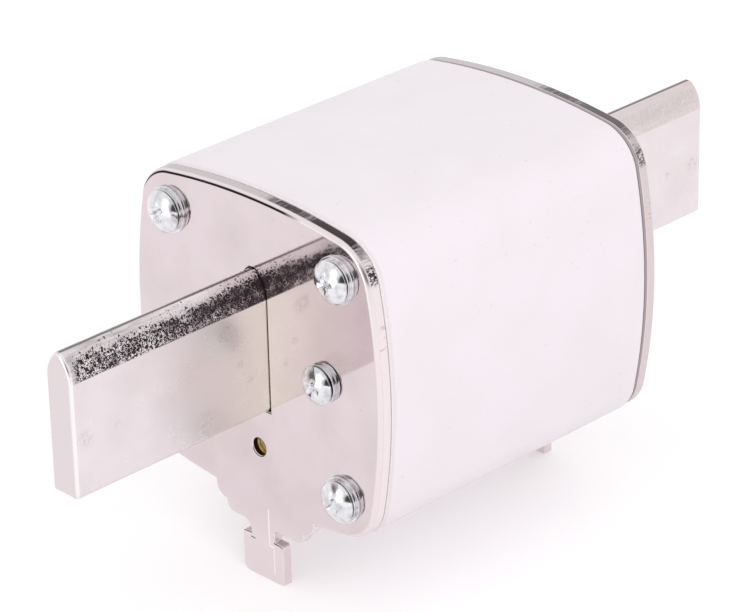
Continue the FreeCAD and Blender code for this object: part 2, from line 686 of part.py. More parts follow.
def make_indicator_pin():
    body = new_body("indicator_pin")
    stem = "(%s / 2)" % PIN
    collar = "(sleeve_bore / 2 - collar_play)"
    tail = "(tail_diameter / 2)"
    end = "(%s + tail_length)" % COLLAR_BACK
    bore = "(wire_diameter / 2 + wire_play)"
    floor = "(%s - tail_bore_depth)" % end
    profile = new_sketch(body, "pin_profile", "XY_Plane")
    draw(profile, [("pin_recess", "0"), ("pin_recess", stem), (COLLAR_FRONT, stem),
                   (COLLAR_FRONT, collar), (COLLAR_BACK, collar), (COLLAR_BACK, tail),
                   (end, tail), (end, bore), (floor, bore), (floor, "0")])
    revolve(body, profile)
    return seat_on_indicator_axis(body)


def make_indicator_sleeve():
    body = new_body("indicator_sleeve")
    outer = "(%s / 2)" % SLEEVE
    inner = "(sleeve_bore / 2)"
    eye = "(wire_diameter / 2 + wire_play)"
    back = "(%s + sleeve_floor)" % SLEEVE_FLOOR
    profile = new_sketch(body, "sleeve_profile", "XY_Plane")
    draw(profile, [("plate_thickness", inner), ("plate_thickness", outer), (back, outer),
                   (back, eye), (SLEEVE_FLOOR, eye), (SLEEVE_FLOOR, inner)])
    revolve(body, profile)
    return seat_on_indicator_axis(body)


def make_indicator_spring():
    """A spring pressed between the collar and the sleeve's floor, each turn in short straight runs."""
    wire = amount("spring_wire")
    radius = amount("sleeve_bore / 2 - spring_play - spring_wire / 2")
    length = amount("spring_length - spring_wire - 2 * spring_end_gap")
    sides = int(amount("spring_sides"))
    runs = int(amount("spring_turns")) * sides
    start = amount("%s + spring_wire / 2 + spring_end_gap" % COLLAR_BACK)
    points = []
    for run in range(runs + 1):
        turn = 2 * math.pi * run / sides
        points.append(FreeCAD.Vector(start + length * run / runs, radius * math.cos(turn),
                                     radius * math.sin(turn)))
    path = Part.makePolygon(points)
    first = (points[1] - points[0]).normalize()
    aside = first.cross(FreeCAD.Vector(1, 0, 0)).normalize()
    upward = first.cross(aside)
    rim = []
    for corner in range(7):
        turn = math.pi * corner / 3
        rim.append(points[0] + (aside * math.cos(turn) + upward * math.sin(turn)) * wire / 2)
    section = Part.makePolygon(rim)
    spring = doc.addObject("Part::Feature", "indicator_spring")
    spring.Label = "indicator_spring"
    spring.Shape = path.makePipeShell([section], True, False, 1)
    return seat_on_indicator_axis(spring)


def make_indicator_wire():
    """The thin wire that holds the pin back, from the pin's tail to the anchor."""
    body = new_body("indicator_wire")
    start = "(%s + tail_length - tail_bore_depth / 2)" % COLLAR_BACK
    section = new_sketch(body, "wire_section", "YZ_Plane", start)
    draw_circle(section, "0", "0", "wire_diameter")
    pad(body, section, "over_plates - plate_thickness - anchor_flange - " + start)
    return seat_on_indicator_axis(body)


def make_wire_anchor():
    """A rivet in the right-hand plate's small hole; the indicator wire is soldered to its flange."""
    body = new_body("wire_anchor")
    nose = "(%s / 2)" % PIN
    flange = "(%s / 2)" % SLEEVE
    end = "(plate_thickness + anchor_flange)"
    profile = new_sketch(body, "anchor_profile", "XY_Plane")
    draw(profile, [("pin_recess", "0"), ("pin_recess", nose), ("plate_thickness", nose),
                   ("plate_thickness", flange), (end, flange), (end, "0")])
    revolve(body, profile)
    return seat_on_indicator_axis(body, 1)


def mirrored(source, label):
    """The same stamping or casting at the other end of the fuse."""
    twin = doc.addObject("Part::Mirroring", label)
    twin.Label = label
    twin.Source = source
    twin.Normal = FreeCAD.Vector(1, 0, 0)
    return twin


def build():
    pieces = [make_ceramic_body()]
    for make in (make_end_plate, make_gasket, make_knife_blade, make_contact_block):
        left = make()
        pieces.append(left)
        pieces.append(mirrored(left, left.Label.replace("left", "right")))
    pieces.extend(make_fasteners())
    number = 0
    for side in (-1, 1):
        for level in (-1, 1):
            number += 1
            pieces.append(make_fuse_strip(number, side, level))
    pieces.append(make_solder_bridges())
    pieces.append(make_sand())
    pieces.append(make_indicator_pin())
    pieces.append(make_indicator_spring())
    pieces.append(make_indicator_sleeve())
    pieces.append(make_indicator_wire())
    pieces.append(make_wire_anchor())
    return pieces


def check(pieces):
    """Stops the build if any object failed or any piece has no sound solid."""
    for item in doc.Objects:
        if "Invalid" in item.State or "Error" in item.State:
            raise RuntimeError("%s failed: %s" % (item.Label, item.State))
    for piece in pieces:
        if piece.Shape.isNull() or not piece.Shape.isValid() or not piece.Shape.Solids:
            raise RuntimeError(piece.Label + " has no sound solid")


pieces = build()
doc.recompute()
check(pieces)
os.makedirs("parts", exist_ok=True)
for piece in pieces:
    piece.Shape.exportStep("parts/%s.step" % piece.Label)
    print("%-28s %d solid(s) %9.1f mm3" % (piece.Label, len(piece.Shape.Solids), piece.Shape.Volume))
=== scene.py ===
import bpy
import json
import math
from functools import partial
from mathutils import Matrix, Vector


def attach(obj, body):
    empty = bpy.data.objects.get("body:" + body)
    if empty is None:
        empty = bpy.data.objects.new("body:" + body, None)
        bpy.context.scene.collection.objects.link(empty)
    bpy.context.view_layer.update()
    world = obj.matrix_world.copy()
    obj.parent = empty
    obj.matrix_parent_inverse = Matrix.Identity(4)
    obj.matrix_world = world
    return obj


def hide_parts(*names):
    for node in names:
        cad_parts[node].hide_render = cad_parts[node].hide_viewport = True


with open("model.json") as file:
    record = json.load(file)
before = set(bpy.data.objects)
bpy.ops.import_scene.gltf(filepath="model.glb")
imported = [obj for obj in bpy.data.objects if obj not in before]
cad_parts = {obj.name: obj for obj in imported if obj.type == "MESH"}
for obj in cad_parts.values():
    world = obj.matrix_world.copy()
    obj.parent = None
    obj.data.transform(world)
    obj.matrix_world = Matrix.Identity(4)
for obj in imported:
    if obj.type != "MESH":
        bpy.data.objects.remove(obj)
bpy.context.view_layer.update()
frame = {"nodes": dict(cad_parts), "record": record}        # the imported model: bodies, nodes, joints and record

mm = 0.001
plateFace, plateMiddle = 33.2, 42.7     # mm, an end plate's face along X and its middle above the feet
print("frame loaded,", len(frame["nodes"]), "nodes")

cameraSetup = {
    "aim": (-3.932, -2.985, 639.183),     # mm, sideways, up and back from the middle of the end plates
    "azimuth": -44.002,
    "elevation": 26.152,
    "roll": -1.368,
    "lens": 180.1167,                     # on a 36 mm sensor
}


def makeCamera(setup):
    azimuth, elevation, roll = (math.radians(setup[k]) for k in ("azimuth", "elevation", "roll"))
    back = Vector((math.sin(azimuth) * math.cos(elevation), -math.cos(azimuth) * math.cos(elevation),
                   math.sin(elevation)))
    level = Vector((math.cos(azimuth), math.sin(azimuth), 0))
    upright = back.cross(level)
    right = math.cos(roll) * level + math.sin(roll) * upright
    up = math.cos(roll) * upright - math.sin(roll) * level
    across, rise, away = setup["aim"]
    spot = (across * right + rise * up + away * back + Vector((0, 0, plateMiddle))) * mm
    turn = Matrix((right, up, back)).transposed().to_4x4()
    data = bpy.data.cameras.new("photoCamera")
    data.sensor_width = 36
    data.lens = setup["lens"]
    data.clip_start, data.clip_end = 0.01, 20
    camera = bpy.data.objects.new("photoCamera", data)
    camera.matrix_world = Matrix.Translation(spot) @ turn
    bpy.context.scene.collection.objects.link(camera)
    bpy.context.scene.camera = camera


makeCamera(cameraSetup)
print("camera set")


def hexColour(code):
    parts = [int(code[i:i + 2], 16) / 255 for i in (1, 3, 5)]
    return tuple(c / 12.92 if c <= 0.04045 else ((c + 0.055) / 1.055) ** 2.4 for c in parts) + (1.0,)


def addNode(tree, kind, inputs=(), **settings):
    # inputs stand in the node's own order or go by name or number, and each is a socket to link, a number, a
    # vector or a hex colour; it gives the node's outputs (a colour Mix has its colours at 6, 7 and gives 2)
    node = tree.nodes.new("ShaderNode" + kind)
    for name, value in settings.items():
        setattr(node, name, value)
    for socket, value in inputs.items() if isinstance(inputs, dict) else enumerate(inputs):
        if isinstance(value, bpy.types.NodeSocket):
            tree.links.new(value, node.inputs[socket])
        else:
            node.inputs[socket].default_value = hexColour(value) if isinstance(value, str) else value
    return node.outputs


def startMaterial(name, colour, metallic, roughness):
    # starts from the real material's own colour, metal and gloss; add puts a node in it
    material = bpy.data.materials.new(name)
    material.use_nodes = True
    sockets = material.node_tree.nodes["Principled BSDF"].inputs
    sockets["Base Color"].default_value = hexColour(colour)
    sockets["Metallic"].default_value = metallic
    sockets["Roughness"].default_value = roughness
    add = partial(addNode, material.node_tree)
    return material, add, add("TexCoord")["Object"]


def endMaterial(material, sources):
    # links what was worked out to the shader's sockets
    tree = material.node_tree
    for socket, source in sources.items():
        tree.links.new(source, tree.nodes["Principled BSDF"].inputs[socket])
    return material


glaze = {
    "white": "#F6EEF4", "cloud": "#F3EBF0", "pinhole": "#CFC6C8",
    "cloudSize": 14, "pinholeSize": 0.7, "glossSize": 5, "rippleSize": 1.2,      # mm
    "roughness": (0.3, 0.42),
}


def porcelain(facts):
    # glazed electrical porcelain, fired: satin white with a faint pink cast, a slow unevenness and pinholes
    material, add, place = startMaterial("glazedPorcelain", facts["white"], 0.0, 0.36)
    cloud, pinhole, gloss, ripple = (
        add("TexNoise", {"Vector": place, "Scale": 1 / (facts[size] * mm), "Detail": detail})[0]
        for size, detail in (("cloudSize", 3), ("pinholeSize", 1), ("glossSize", 3), ("rippleSize", 2)))
    share = add("MapRange", (cloud, 0.35, 0.65))[0]
    colour = add("Mix", {0: share, 6: facts["white"], 7: facts["cloud"]}, data_type="RGBA")[2]
    share = add("MapRange", (pinhole, 0.74, 0.8, 0, 0.5))[0]
    colour = add("Mix", {0: share, 6: colour, 7: facts["pinhole"]}, data_type="RGBA")[2]
    rough = add("MapRange", (gloss, 0.3, 0.7, *facts["roughness"]))[0]
    height = add("Math", (cloud, 3, ripple), operation="MULTIPLY_ADD")[0]
    relief = add("Bump", {"Height": height, "Strength": 0.5, "Distance": 0.02 * mm})[0]
    return endMaterial(material, {"Base Color": colour, "Roughness": rough, "Normal": relief})


plateLook = {
    "nickel": "#DCD0D3", "cloud": "#D4C8C9", "stain": "#BEB1AC", "lug": "#E5DADC",
    "sheared": "#ECE1E3", "farShearedShade": "#D8CCCE", "topShearedShade": "#CBC3C6",      # the edge of the sheet
    "rolled": "#E9DFE1", "darkRimReflection": "#241C1F", "drag": "#40353A", "foldHighlight": "#FFFAFA", "nick": "#2E2628",
    "holeMouth": "#3E2E22", "holeWall": "#F6E6BC",
    "cloudSize": 9, "stainSize": 1.6, "dragSize": 0.5, "speckSize": 0.3,      # mm
    "hairSize": 0.25,              # mm, hairlines, drawn coarser than they are so that they show
    # drag marks of the sheared edge: mm across and up, reach in mm, and how crowded
    "drags": ((-8.5, 71.0, 9.0, 0.82), (-18.2, 70.4, 11.0, 1.0), (-25.8, 66.8, 3.5, 0.5),
              (-29.0, 55.0, 8.0, 0.38)),
    "cornerSpecksAndDarkReflection": (-27.3, 65.3, 2.3),  # mm across, up and reach of the black specks at the corner, which also paint its dark reflection
    "darkRimReflectionEnd": (-12.0, -8.0),      # mm across, where the painted dark reflection along the top of the rim fades out
    # half-sheared folds, painted pale as highlights, and dark nicks of the near plate's lug: across, up, half
    # width and half height in mm
    "folds": ((-1.65, 10.4, 0.1, 3.3), (-2.2, 6.8, 0.6, 0.08), (-2.7, 4.0, 0.06, 2.4)),
    "nicks": ((-5.2, 7.2, 0.06, 0.35), (2.4, 6.9, 0.45, 0.03), (-3.0, 32.95, 0.22, 0.25)),
    "hole": (0.0, 25.15, 2.1),     # mm across, up and reach of the wall of the indicator's hole
    "mouthDepth": (1.0, 1.3),      # mm behind the face, where the hole's dark mouth ends
}


def nickelPlate(facts):
    # bright nickel plating on pressed steel: nearly a mirror, slightly rose, with hairlines and cloudy spots;
    # the sheared edge of the sheet is duller, with drag marks across it and painted shade at the far end and on
    # top, and a painted dark reflection runs along the top of the rim
    material, add, place = startMaterial("brightNickelPlate", facts["nickel"], 1.0, 0.06)
    axes = add("SeparateXYZ", (place,))
    leaning = add("SeparateXYZ", (add("TexCoord")["Normal"],))
    facing = add("Math", (leaning["X"],), operation="ABSOLUTE")[0]
    edge = add("MapRange", (facing, 0.4, 0.2))[0]
    flat = add("CombineXYZ", (0, axes["Y"], axes["Z"]))[0]

    def nearTo(mark, soft):
        gap = add("VectorMath", (flat, (0, mark[0] * mm, mark[1] * mm)), operation="DISTANCE")["Value"]
        return add("MapRange", (gap, mark[2] * mm, mark[2] * soft * mm))[0]

    # clouds and stains on the flat faces, and the lug
    cloud = add("TexNoise", {"Vector": place, "Scale": 1 / (facts["cloudSize"] * mm), "Detail": 3})[0]
    clouded = add("MapRange", (cloud, 0.4, 0.75))[0]
    stains = add("TexNoise", {"Vector": place, "Scale": 1 / (facts["stainSize"] * mm), "Detail": 3})[0]
    stained = add("MapRange", (stains, 0.7, 0.8, 0, 0.4))[0]
    onLug = add("MapRange", (axes["Z"], 14 * mm, 7 * mm))[0]

    # the sheared edge: painted darker at the far end and along the top, as shade
    farEnd = add("MapRange", (axes["X"], 0, 10 * mm))[0]
    sheared = add("Mix", {0: farEnd, 6: facts["sheared"], 7: facts["farShearedShade"]}, data_type="RGBA")[2]
    onTop = add("MapRange", (leaning["Z"], 0.55, 0.95))[0]
    sheared = add("Mix", {0: onTop, 6: sheared, 7: facts["topShearedShade"]}, data_type="RGBA")[2]

    # drag marks across it, drawn out along X, and black specks at the corner that also paint a dark reflection
    # there
    drawnOut = add("Mapping", {"Vector": place, "Scale": (0.2, 1, 1)})[0]
    drag = add("TexNoise", {"Vector": drawnOut, "Scale": 1 / (facts["dragSize"] * mm), "Detail": 4,
                            "Roughness": 0.65})[0]
    crowd = 0
    for mark in facts["drags"]:
        share = add("Math", (nearTo(mark, 0.3), mark[3]), operation="MULTIPLY")[0]
        crowd = add("Math", (crowd, share), operation="MAXIMUM")[0]
    dragged = add("Math", (drag, crowd), operation="ADD")[0]
    dragged = add("MapRange", (dragged, 0.9, 1.34))[0]
    halfDrawn = add("Mapping", {"Vector": place, "Scale": (0.5, 1, 1)})[0]
    cornerSpecksAndDarkReflection = add("TexNoise", {"Vector": halfDrawn, "Scale": 1 / (facts["speckSize"] * mm), "Detail": 3})[0]
    cornerSpecksAndDarkReflection = add("MapRange", (cornerSpecksAndDarkReflection, 0.44, 0.52, 0, nearTo(facts["cornerSpecksAndDarkReflection"], 0.6)))[0]
    dragged = add("Math", (dragged, cornerSpecksAndDarkReflection), operation="MAXIMUM")[0]
    for share in (edge, add("MapRange", (axes["X"], 0, 10 * mm, 1, 0.8))[0]):
        dragged = add("Math", (dragged, share), operation="MULTIPLY")[0]

    # the rolled edge of the face, painted pale as a highlight, and a painted dark reflection along the top of it
    rolled = add("MapRange", (facing, 0.99, 0.93))[0]
    rolled = add("MapRange", (facing, 0.3, 0.5, 0, rolled))[0]
    # a painted dark reflection along the top of the rounded rim
    darkRimReflection = 1
    for value, low, high in ((facing, 0.992, 0.975), (facing, 0.72, 0.8), (leaning["Z"], 0.15, 0.22),
                             (axes["Y"], facts["darkRimReflectionEnd"][0] * mm, facts["darkRimReflectionEnd"][1] * mm)):
        darkRimReflection = add("MapRange", (value, low, high, 0, darkRimReflection))[0]

    # the wall of the indicator's hole, dark at its mouth
    holeWall = add("Math", (nearTo(facts["hole"], 0.98), edge), operation="MULTIPLY")[0]
    along = add("Math", (axes["X"],), operation="ABSOLUTE")[0]
    inside = add("MapRange", (along, *((plateFace - depth) * mm for depth in facts["mouthDepth"])))[0]
    bore = add("Mix", {0: inside, 6: facts["holeMouth"], 7: facts["holeWall"]}, data_type="RGBA")[2]

    nearFace = add("MapRange", (facing, 0.8, 0.95))[0]
    nearFace = add("MapRange", (axes["X"], 0, -10 * mm, 0, nearFace))[0]

    def strokesOf(boxes):
        # soft boxes on the near face: middle across and up, then half their width and height, in mm
        strokes = 0
        for across, up, wide, high in boxes:
            box = nearFace
            for axis, middle, half in (("Y", across, wide), ("Z", up, high)):
                gap = add("Math", (axes[axis], middle * mm), operation="SUBTRACT")[0]
                gap = add("Math", (gap,), operation="ABSOLUTE")[0]
                box = add("MapRange", (gap, (half + 0.14) * mm, half * mm, 0, box))[0]
            strokes = add("Math", (strokes, box), operation="MAXIMUM")[0]
        return strokes

    folds = strokesOf(facts["folds"])
    # the folds' pale colour is a painted highlight
    foldHighlightShare = add("Math", (folds, 0.7), operation="MULTIPLY")[0]
    colour = facts["nickel"]
    for share, layer in ((clouded, facts["cloud"]), (stained, facts["stain"]), (edge, sheared),
                         (onLug, facts["lug"]), (dragged, facts["drag"]), (rolled, facts["rolled"]),
                         (darkRimReflection, facts["darkRimReflection"]), (holeWall, bore), (foldHighlightShare, facts["foldHighlight"]),
                         (strokesOf(facts["nicks"]), facts["nick"])):
        colour = add("Mix", {0: share, 6: colour, 7: layer}, data_type="RGBA")[2]

    rough = add("MapRange", (cloud, 0.3, 0.7, 0.04, 0.08))[0]
    rough = add("Math", (edge, 0.1, rough), operation="MULTIPLY_ADD")[0]
    turning = add("MapRange", (facing, 0.99, 0.9, 0, 0.22))[0]
    rough = add("Math", (rough, turning), operation="ADD")[0]

    brushed = add("Mapping", {"Vector": place, "Scale": (1, 0.06, 1)})[0]
    hairs = add("TexNoise", {"Vector": brushed, "Scale": 1 / (facts["hairSize"] * mm), "Detail": 1})[0]
    hairs = add("Math", (folds, 60, hairs), operation="MULTIPLY_ADD")[0]
    height = add("Math", (drag, edge), operation="MULTIPLY")[0]
    height = add("Math", (height, 0.5), operation="MULTIPLY")[0]
    height = add("Math", (hairs, 0.02, height), operation="MULTIPLY_ADD")[0]
    relief = add("Bump", {"Height": height, "Strength": 0.5, "Distance": 0.03 * mm})[0]
    return endMaterial(material, {"Base Color": colour, "Roughness": rough, "Normal": relief})


bladeLook = {
    "side": "#E7DFE1", "sideCloud": "#E1D8DA", "root": "#FCFAEE", "end": "#DCD3D5", "stain": "#B9AEB0",
    "taper": "#DED6D8", "taperStreak": "#BBB2B4", "rootTaperHighlight": "#F1E9EB", "farTaper": "#DFD3D3",
    "apexDarkReflection": "#77706F", "cutEdgeHighlight": "#FFFEFE", "glintsBetweenPits": "#F3EDEE",
    "pitsAndDarkReflection": (("#463A3E", "#2D2326"), ("#574B4F", "#554A4E")),      # deep and shallow, each at root and tip
    "shoulder": 53.35,       # mm, height where the taper of the lead-in edge starts
    "top": 58.15,
    "tip": 75.0,             # mm along X
    "wornEnd": -1,           # the end, along X, whose edge is pitted the most
    "pitSize": 0.62, "pitDepthSize": 0.32, "clearingSize": 2.2, "limitSize": 1.6, "cloudSize": 7,      # mm
    "streakSize": 0.5, "mottleSize": 0.7, "glossSize": 4,
    # water marks, the first two painted reflections of the screws: mm from the middle of the fuse, height and
    # reach
    "stains": ((47.4, 36.2, 3.0), (41.3, 50.0, 2.2), (72.6, 43.0, 2.2), (65.7, 43.0, 1.0), (39.3, 43.9, 1.0),
               (37.3, 40.4, 1.0)),
}


def bladeSilver(facts):
    # silver-plated copper, rolled and tumbled: soft bright sides with water marks and painted reflections of the
    # screws, and a pitted lead-in edge, darkest next to the end plate, its pits partly painted dark reflection
    # and its glints painted highlight
    material, add, place = startMaterial("silverPlatedCopper", facts["side"], 1.0, 0.3)
    pattern = {}
    for size, detail, roughness in (("pitSize", 3, 0.65), ("pitDepthSize", 2, 0.5), ("clearingSize", 2, 0.5),
                                    ("limitSize", 4, 0.5), ("cloudSize", 3, 0.5), ("mottleSize", 4, 0.7),
                                    ("glossSize", 3, 0.5)):
        pattern[size] = add("TexNoise", {"Vector": place, "Scale": 1 / (facts[size] * mm), "Detail": detail,
                                         "Roughness": roughness})[0]
    axes = add("SeparateXYZ", (place,))
    leaning = add("SeparateXYZ", (add("TexCoord")["Normal"],))
    along, aside, endways = (add("Math", (value,), operation="ABSOLUTE")[0]
                             for value in (axes["X"], axes["Y"], leaning["X"]))
    outward = add("MapRange", (along, plateFace * mm, facts["tip"] * mm))[0]
    rise = add("MapRange", (axes["Z"], facts["shoulder"] * mm, facts["top"] * mm), clamp=False)[0]
    onTaper = add("MapRange", (rise, -0.02, 0.03))[0]

    # how far a place is above the ragged upper limit of the pitted band, which falls from root to tip
    ragged = add("MapRange", (pattern["limitSize"], 0.3, 0.7, -0.07, 0.07))[0]
    above = add("Math", (rise, ragged), operation="ADD")[0]
    limit = add("MapRange", (outward, 0.05, 0.3, 0.86, 0.72))[0]
    above = add("Math", (above, limit), operation="SUBTRACT")[0]
    band = add("MapRange", (outward, 0.985, 0.96, 0, onTaper))[0]
    worn = add("MapRange", (axes["X"], 0, facts["wornEnd"] * 10 * mm, 0.12, 1))[0]
    wornBand = add("Math", (band, worn), operation="MULTIPLY")[0]

    # pits lie between the veins of a noise, and bare says how wide the veins are; their dark colour is partly a
    # painted dark reflection
    vein = add("Math", (pattern["pitSize"], 0.5), operation="SUBTRACT")[0]
    vein = add("Math", (vein,), operation="ABSOLUTE")[0]
    bare = add("MapRange", (outward, 0.08, 0.6, 0.013, 0.029))[0]
    thinned = add("MapRange", (above, -0.08, 0.26))[0]
    bare = add("Math", (thinned, 0.16, bare), operation="MULTIPLY_ADD")[0]
    clearing = add("MapRange", (pattern["clearingSize"], 0.42, 0.66, -0.014, 0.016))[0]
    bare = add("Math", (bare, clearing), operation="ADD")[0]
    pitsAndDarkReflection = add("Math", (vein, bare), operation="SUBTRACT")[0]
    pitsAndDarkReflection = add("MapRange", (pitsAndDarkReflection, -0.003, 0.007, 0, wornBand))[0]
    shallow = add("MapRange", (pattern["pitDepthSize"], 0.4, 0.72))[0]
    depths = [add("Mix", {0: outward, 6: atRoot, 7: atTip}, data_type="RGBA")[2]
              for atRoot, atTip in facts["pitsAndDarkReflection"]]
    pitAndReflectionColour = add("Mix", {0: shallow, 6: depths[0], 7: depths[1]}, data_type="RGBA")[2]
    # a painted highlight: pale glints between the pits inside the band
    between = add("Math", (wornBand, 0.9), operation="MULTIPLY")[0]
    between = add("MapRange", (above, 0, -0.12, 0, between))[0]

    # the plating of the taper, streaked along the blade
    drawnOut = add("Mapping", {"Vector": place, "Scale": (0.12, 1, 1)})[0]
    streak = add("TexNoise", {"Vector": drawnOut, "Scale": 1 / (facts["streakSize"] * mm)})[0]
    streak = add("MapRange", (streak, 0.4, 0.7))[0]
    taper = add("Mix", {0: streak, 6: facts["taper"], 7: facts["taperStreak"]}, data_type="RGBA")[2]
    # the near blade's taper is painted lighter towards its root as a highlight
    inner = add("MapRange", (outward, 0.7, 0.2))[0]
    taper = add("Mix", {0: inner, 6: taper, 7: facts["rootTaperHighlight"]}, data_type="RGBA")[2]
    taper = add("Mix", {0: worn, 6: facts["farTaper"], 7: taper}, data_type="RGBA")[2]

    # water marks on the sides, and painted reflections of the screws
    sideways = add("CombineXYZ", (along, 0, axes["Z"]))[0]
    marksAndReflections = 0
    for out, height, reach in facts["stains"]:
        gap = add("VectorMath", (sideways, (out * mm, 0, height * mm)), operation="DISTANCE")["Value"]
        near = add("MapRange", (gap, reach * mm, reach * 0.3 * mm))[0]
        marksAndReflections = add("Math", (marksAndReflections, near), operation="MAXIMUM")[0]
    blotAndReflection = add("MapRange", (pattern["mottleSize"], 0.42, 0.68, 0, marksAndReflections))[0]
    below = [(facts["shoulder"] + step) * mm for step in (0.15, -0.35)]
    blotAndReflection = add("MapRange", (axes["Z"], *below, 0, blotAndReflection))[0]

    halfBlotAndReflection = add("Math", (blotAndReflection, 0.5), operation="MULTIPLY")[0]
    # a painted dark reflection along the apex of the lead-in edge
    apexDarkReflection = add("MapRange", (aside, 0.4 * mm, 0.2 * mm))[0]
    apexDarkReflection = add("MapRange", (leaning["Z"], 0.7, 0.95, 0, apexDarkReflection))[0]
    # a painted highlight on the rounded cut edges of the blade's end
    cutEdgeHighlight = add("MapRange", (endways, 0.08, 0.3, 0, 0.55))[0]
    cutEdgeHighlight = add("MapRange", (endways, 0.97, 0.85, 0, cutEdgeHighlight))[0]
    clouded = add("MapRange", (pattern["cloudSize"], 0.35, 0.7))[0]
    nearRoot = add("MapRange", (outward, 0.5, 0))[0]
    onEnd = add("MapRange", (endways, 0.5, 0.9))[0]
    colour = facts["side"]
    for share, layer in ((clouded, facts["sideCloud"]), (nearRoot, facts["root"]), (onTaper, taper),
                         (halfBlotAndReflection, facts["stain"]), (apexDarkReflection, facts["apexDarkReflection"]), (onEnd, facts["end"]),
                         (cutEdgeHighlight, facts["cutEdgeHighlight"]), (between, facts["glintsBetweenPits"]), (pitsAndDarkReflection, pitAndReflectionColour)):
        colour = add("Mix", {0: share, 6: colour, 7: layer}, data_type="RGBA")[2]

    rough = add("MapRange", (pattern["glossSize"], 0.3, 0.7, 0.26, 0.34))[0]
    dull = add("Math", (pitsAndDarkReflection, blotAndReflection), operation="MAXIMUM")[0]
    rough = add("Math", (dull, 0.2, rough), operation="MULTIPLY_ADD")[0]
    height = add("Math", (vein, band), operation="MULTIPLY")[0]
    height = add("Math", (height, -3), operation="MULTIPLY")[0]
    height = add("Math", (halfBlotAndReflection, height), operation="ADD")[0]
    relief = add("Bump", {"Height": height, "Strength": 0.6, "Distance": 0.03 * mm})[0]
    return endMaterial(material, {"Base Color": colour, "Roughness": rough, "Normal": relief})


zincLook = {
    "zinc": "#E6E6E9", "bloom": "#C4C6CA",
    "bloomSize": 1.3, "dentSize": 0.9, "grainSize": 0.3,      # mm
}


def zincSteel(facts):
    # bright zinc-plated steel, barrel plated: clean highlights, small dents and a slightly frosted bloom
    material, add, place = startMaterial("brightZincSteel", facts["zinc"], 1.0, 0.12)
    bloom = add("TexNoise", {"Vector": place, "Scale": 1 / (facts["bloomSize"] * mm), "Detail": 4,
                             "Roughness": 0.6})[0]
    frosted = add("MapRange", (bloom, 0.45, 0.7))[0]
    colour = add("Mix", {0: frosted, 6: facts["zinc"], 7: facts["bloom"]}, data_type="RGBA")[2]
    rough = add("MapRange", (bloom, 0.3, 0.7, 0.06, 0.18))[0]
    dents = add("TexNoise", {"Vector": place, "Scale": 1 / (facts["dentSize"] * mm)})[0]
    grain = add("TexNoise", {"Vector": place, "Scale": 1 / (facts["grainSize"] * mm)})[0]
    height = add("Math", (grain, 0.2, dents), operation="MULTIPLY_ADD")[0]
    relief = add("Bump", {"Height": height, "Strength": 0.5, "Distance": 0.02 * mm})[0]
    return endMaterial(material, {"Base Color": colour, "Roughness": rough, "Normal": relief})


brassLook = {"brass": "#FAE9B4", "tarnish": "#D8B972", "tarnishSize": 0.8, "ringSize": 0.12}      # mm


def turnedBrass(facts):
    # turned brass: warm yellow with fine rings from the lathe and a little tarnish
    material, add, place = startMaterial("turnedBrass", facts["brass"], 1.0, 0.45)
    tarnish = add("TexNoise", {"Vector": place, "Scale": 1 / (facts["tarnishSize"] * mm), "Detail": 3})[0]
    share = add("MapRange", (tarnish, 0.45, 0.75))[0]
    colour = add("Mix", {0: share, 6: facts["brass"], 7: facts["tarnish"]}, data_type="RGBA")[2]
    rough = add("MapRange", (tarnish, 0.3, 0.7, 0.38, 0.55))[0]
    drawnOut = add("Mapping", {"Vector": place, "Scale": (1, 0.2, 0.2)})[0]
    rings = add("TexNoise", {"Vector": drawnOut, "Scale": 1 / (facts["ringSize"] * mm), "Detail": 1})[0]
    relief = add("Bump", {"Height": rings, "Strength": 0.5, "Distance": 0.01 * mm})[0]
    return endMaterial(material, {"Base Color": colour, "Roughness": rough, "Normal": relief})


fibreLook = {"sheet": "#EAE5E4", "fibre": "#F6F2F1", "farShade": "#ABA0A2", "fibreSize": 0.3}      # mm


def gasketFibre(facts):
    # pressed mineral fibre sheet: off-white, the far one darkened as painted shade in its joint, its fibres drawn
    # coarse enough to show
    material, add, place = startMaterial("pressedFibreSheet", facts["sheet"], 0.0, 0.9)
    drawnOut = add("Mapping", {"Vector": place, "Scale": (1, 0.4, 1)})[0]
    fibres = add("TexNoise", {"Vector": drawnOut, "Scale": 1 / (facts["fibreSize"] * mm), "Detail": 3})[0]
    share = add("MapRange", (fibres, 0.35, 0.65))[0]
    colour = add("Mix", {0: share, 6: facts["sheet"], 7: facts["fibre"]}, data_type="RGBA")[2]
    # the far gasket is painted darker as shade in its joint
    farEnd = add("MapRange", (add("SeparateXYZ", (place,))["X"], 0, 10 * mm))[0]
    colour = add("Mix", {0: farEnd, 6: colour, 7: facts["farShade"]}, data_type="RGBA")[2]
    relief = add("Bump", {"Height": fibres, "Distance": 0.03 * mm})[0]
    return endMaterial(material, {"Base Color": colour, "Normal": relief})


innerMetals = {
    # slot: name, bright and dull colour, grain in mm, roughness and the grain's scale along each axis
    "bare_copper": ("coldDrawnCopper", "#D98E6C", "#B46A4C", 2.0, 0.3, (0.1, 1, 1)),      # red, long streaks
    "strip_copper": ("rolledCopperStrip", "#E39A78", "#C67A58", 0.8, 0.22, (0.1, 1, 1)),  # brighter, finer
    "soft_solder": ("softSolder", "#B4B4B2", "#8E8E8C", 0.5, 0.35, (1, 1, 1)),            # grey, frosted
    "spring_steel": ("springSteelWire", "#A9A9AC", "#77777C", 0.3, 0.3, (1, 1, 1)),       # dark grey, oiled
    "resistance_wire": ("resistanceWire", "#B8B2AC", "#8F8982", 0.2, 0.3, (0.1, 1, 1)),   # warm grey, drawn
}


